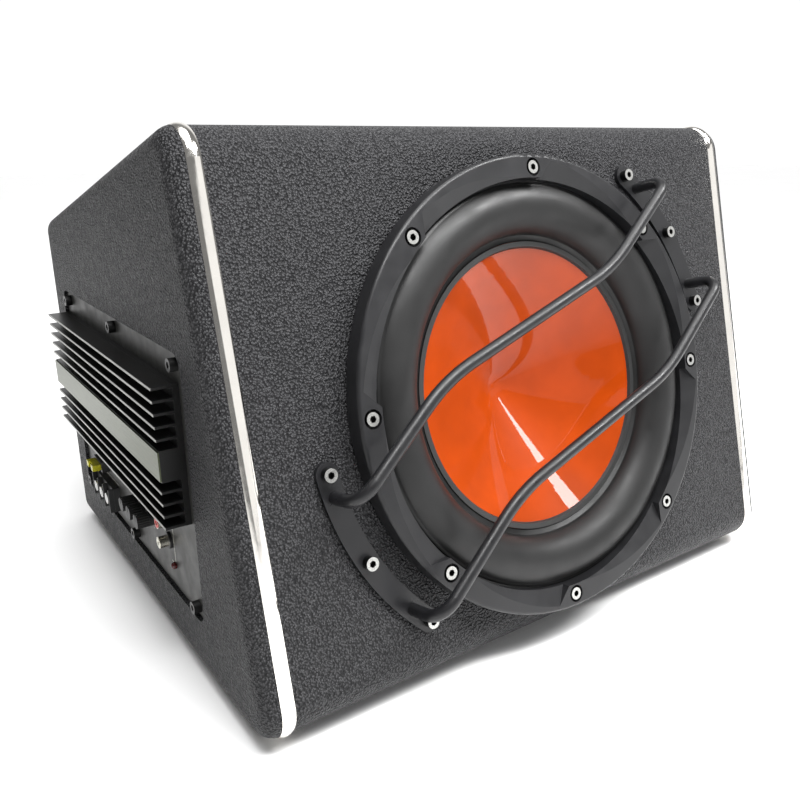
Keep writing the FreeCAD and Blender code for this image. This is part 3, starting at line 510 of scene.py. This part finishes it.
def spider():
    """A corrugated cloth disc between the voice coil former and the basket's shelf."""
    inner, outer, level, cloth = 25.5 * MM, 79.9 * MM, -72 * MM, 0.8 * MM
    wave_pitch, wave_height, flat_edge = 8 * MM, 1.8 * MM, 6 * MM
    count = 90
    top = []
    for step in range(count + 1):
        radius = inner + (outer - inner) * step / count
        inside = min(1, (radius - inner) / flat_edge) * min(1, (outer - radius) / flat_edge)
        wave = math.sin((radius - inner) / wave_pitch * 2 * math.pi) * wave_height * inside
        top.append((radius, level + cloth + wave))
    bottom = [(radius, height - cloth) for radius, height in reversed(top)]
    thing = turned("spider_disc", top + bottom, 160, "spider_cloth")
    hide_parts("spider")
    flex(thing, 74 * MM, 27 * MM)


surround()
spider()


# ---------------------------------------------------------------- print on the amplifier

PRINT = 0.06 * MM                         # how far a printed line stands proud
LINE = 0.4 * MM                           # how broad it is
PANEL_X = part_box("amp_plate")[0].x        # the amplifier plate's outer face
KNOBS = {                                 # and the body each one turns with
    "level_knob": "level_control",
    "crossover_knob": "crossover_control",
    "bass_boost_knob": "bass_boost_control",
}


def ink(shape, across, up, long, wide, turn, face_x):
    """A printed line, as a thin bar lying on a face that looks to the left."""
    lie = Matrix.Translation((face_x - PRINT / 2, across, up)) @ Matrix.Rotation(turn, 4, "X")
    size = Matrix.Diagonal((PRINT, long, wide, 1))
    bmesh.ops.create_cube(shape, size=1, matrix=lie @ size)


def printed(name, shape, body):
    """Turn gathered lines into one white piece that rides a body."""
    mesh = bpy.data.meshes.new(name)
    shape.to_mesh(mesh)
    shape.free()
    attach(piece_from(name, mesh, "white_insulator"), body)


def scales():
    """Tick marks round the three knobs, a bracket from the sockets to the light, and a line
    over the terminals."""
    tick_ring, tick_length = 7.4 * MM, 1.2 * MM
    shape = bmesh.new()
    for knob in KNOBS:
        centre = middle(knob)
        for step in range(11):
            swing = math.radians(-150 + 30 * step)
            ink(shape, centre.y + tick_ring * math.sin(swing),
                centre.z + tick_ring * math.cos(swing), LINE, tick_length, -swing, PANEL_X)
    sockets = middle("rca_shells")
    ink(shape, sockets.y - 8 * MM, sockets.z - 6 * MM, LINE, 34 * MM, 0, PANEL_X)
    ink(shape, sockets.y - 4 * MM, sockets.z - 23 * MM, 8 * MM, LINE, 0, PANEL_X)
    block_low, block_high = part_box("power_terminal_block")
    ink(shape, (block_low.y + block_high.y) / 2, block_high.z + 2.5 * MM,
        block_high.y - block_low.y, LINE, 0, PANEL_X)
    printed("panel_print", shape, "cabinet")


def pointers():
    """The white line in each knob's groove."""
    groove_depth, groove_middle = 1.2 * MM, 3.2 * MM
    for knob, body in KNOBS.items():
        shape = bmesh.new()
        centre = middle(knob)
        low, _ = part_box(knob)
        ink(shape, centre.y, centre.z + groove_middle, 0.9 * MM, 3.6 * MM, 0,
            low.x + groove_depth)
        printed(knob + "_pointer", shape, body)


scales()
pointers()


# ---------------------------------------------------------------- floor, light and camera

def floor():
    """A plain white floor, reach metres each way."""
    reach = 12
    mesh = bpy.data.meshes.new("floor")
    mesh.from_pydata(
        [(-reach, -reach, 0), (reach, -reach, 0), (reach, reach, 0), (-reach, reach, 0)], [],
        [(0, 1, 2, 3)])
    ground = bpy.data.objects.new("floor", mesh)
    bpy.context.scene.collection.objects.link(ground)
    look = Look("floor", (0.98, 0.98, 0.98), 0.7)
    look.blotches(0.5, 0.01)
    mesh.materials.append(look.material)


def area_light(name, place, aim, size, power):
    """A rectangular lamp that faces a point; size in metres, power in watts."""
    data = bpy.data.lights.new(name, "AREA")
    data.shape = "RECTANGLE"
    data.size, data.size_y = size
    data.energy = power
    lamp = bpy.data.objects.new(name, data)
    lamp.location = place
    lamp.rotation_mode = "QUATERNION"
    lamp.rotation_quaternion = (Vector(aim) - Vector(place)).to_track_quat("-Z", "Y")
    bpy.context.scene.collection.objects.link(lamp)


CAMERA_OFFSET = Vector((-0.38107, -0.38199, 0.16019))   # from the woofer's middle
CAMERA_RIGHT = Vector((0.8231, -0.5678, -0.0094))
CAMERA_FORWARD = Vector((0.5384, 0.7855, -0.3052))


def walls():
    """A white room ahead of the camera that turns grey towards its sides and behind it."""
    grey, white = 0.22, 1.05
    grey_until, white_from = 0.66, 0.87     # cosines of the angle from straight ahead
    world = bpy.data.worlds.new("studio")
    bpy.context.scene.world = world
    world.use_nodes = True
    nodes = world.node_tree.nodes
    links = world.node_tree.links
    direction = nodes.new("ShaderNodeTexCoord")
    ahead = nodes.new("ShaderNodeVectorMath")
    ahead.operation = "DOT_PRODUCT"
    ahead.inputs[1].default_value = Vector((CAMERA_FORWARD.x, CAMERA_FORWARD.y, 0)).normalized()
    strength = nodes.new("ShaderNodeMapRange")
    strength.inputs["From Min"].default_value = grey_until
    strength.inputs["From Max"].default_value = white_from
    strength.inputs["To Min"].default_value = grey
    strength.inputs["To Max"].default_value = white
    links.new(direction.outputs["Generated"], ahead.inputs[0])
    links.new(ahead.outputs["Value"], strength.inputs["Value"])
    links.new(strength.outputs["Result"], nodes["Background"].inputs["Strength"])
    nodes["Background"].inputs["Color"].default_value = (1, 1, 1, 1)


def lamps():
    """A six-pane window, a softbox over the front, a broad reflector before it and a soft sun."""
    window = Vector((1.25, -1.05, 1.95))
    pane_size, pane_power = (0.26, 0.36), 10
    for column in (-1, 0, 1):
        for row in (-0.5, 0.5):
            place = window + Vector((0.22 * column, 0.26 * column, 0.42 * row))
            area_light("window", place, WOOFER + (place - window), pane_size, pane_power)
    front_top = WOOFER + UPSLOPE * 0.15
    area_light("key", (-0.1, -0.45, 0.85), front_top, (0.6, 0.2), 9)
    area_light("reflector", (1.35, -2.3, 0.85), WOOFER, (4.6, 1.5), 18)
    sky = bpy.data.lights.new("overhead", "SUN")
    sky.energy = 2.4
    sky.angle = math.radians(50)
    overhead = bpy.data.objects.new("overhead", sky)
    bpy.context.scene.collection.objects.link(overhead)


def camera():
    """A wide view from the left front, a little above the woofer."""
    data = bpy.data.cameras.new("camera")
    data.sensor_width = 36
    data.lens = 35.56
    view = bpy.data.objects.new("camera", data)
    forward = CAMERA_FORWARD.normalized()
    up = CAMERA_RIGHT.cross(forward).normalized()
    right = forward.cross(up)
    view.matrix_world = Matrix.Translation(WOOFER + CAMERA_OFFSET) @ Matrix(
        (right, up, -forward)).transposed().to_4x4()
    bpy.context.scene.collection.objects.link(view)
    bpy.context.scene.camera = view


floor()
walls()
lamps()
camera()
bpy.context.scene.view_settings.view_transform = "Standard"
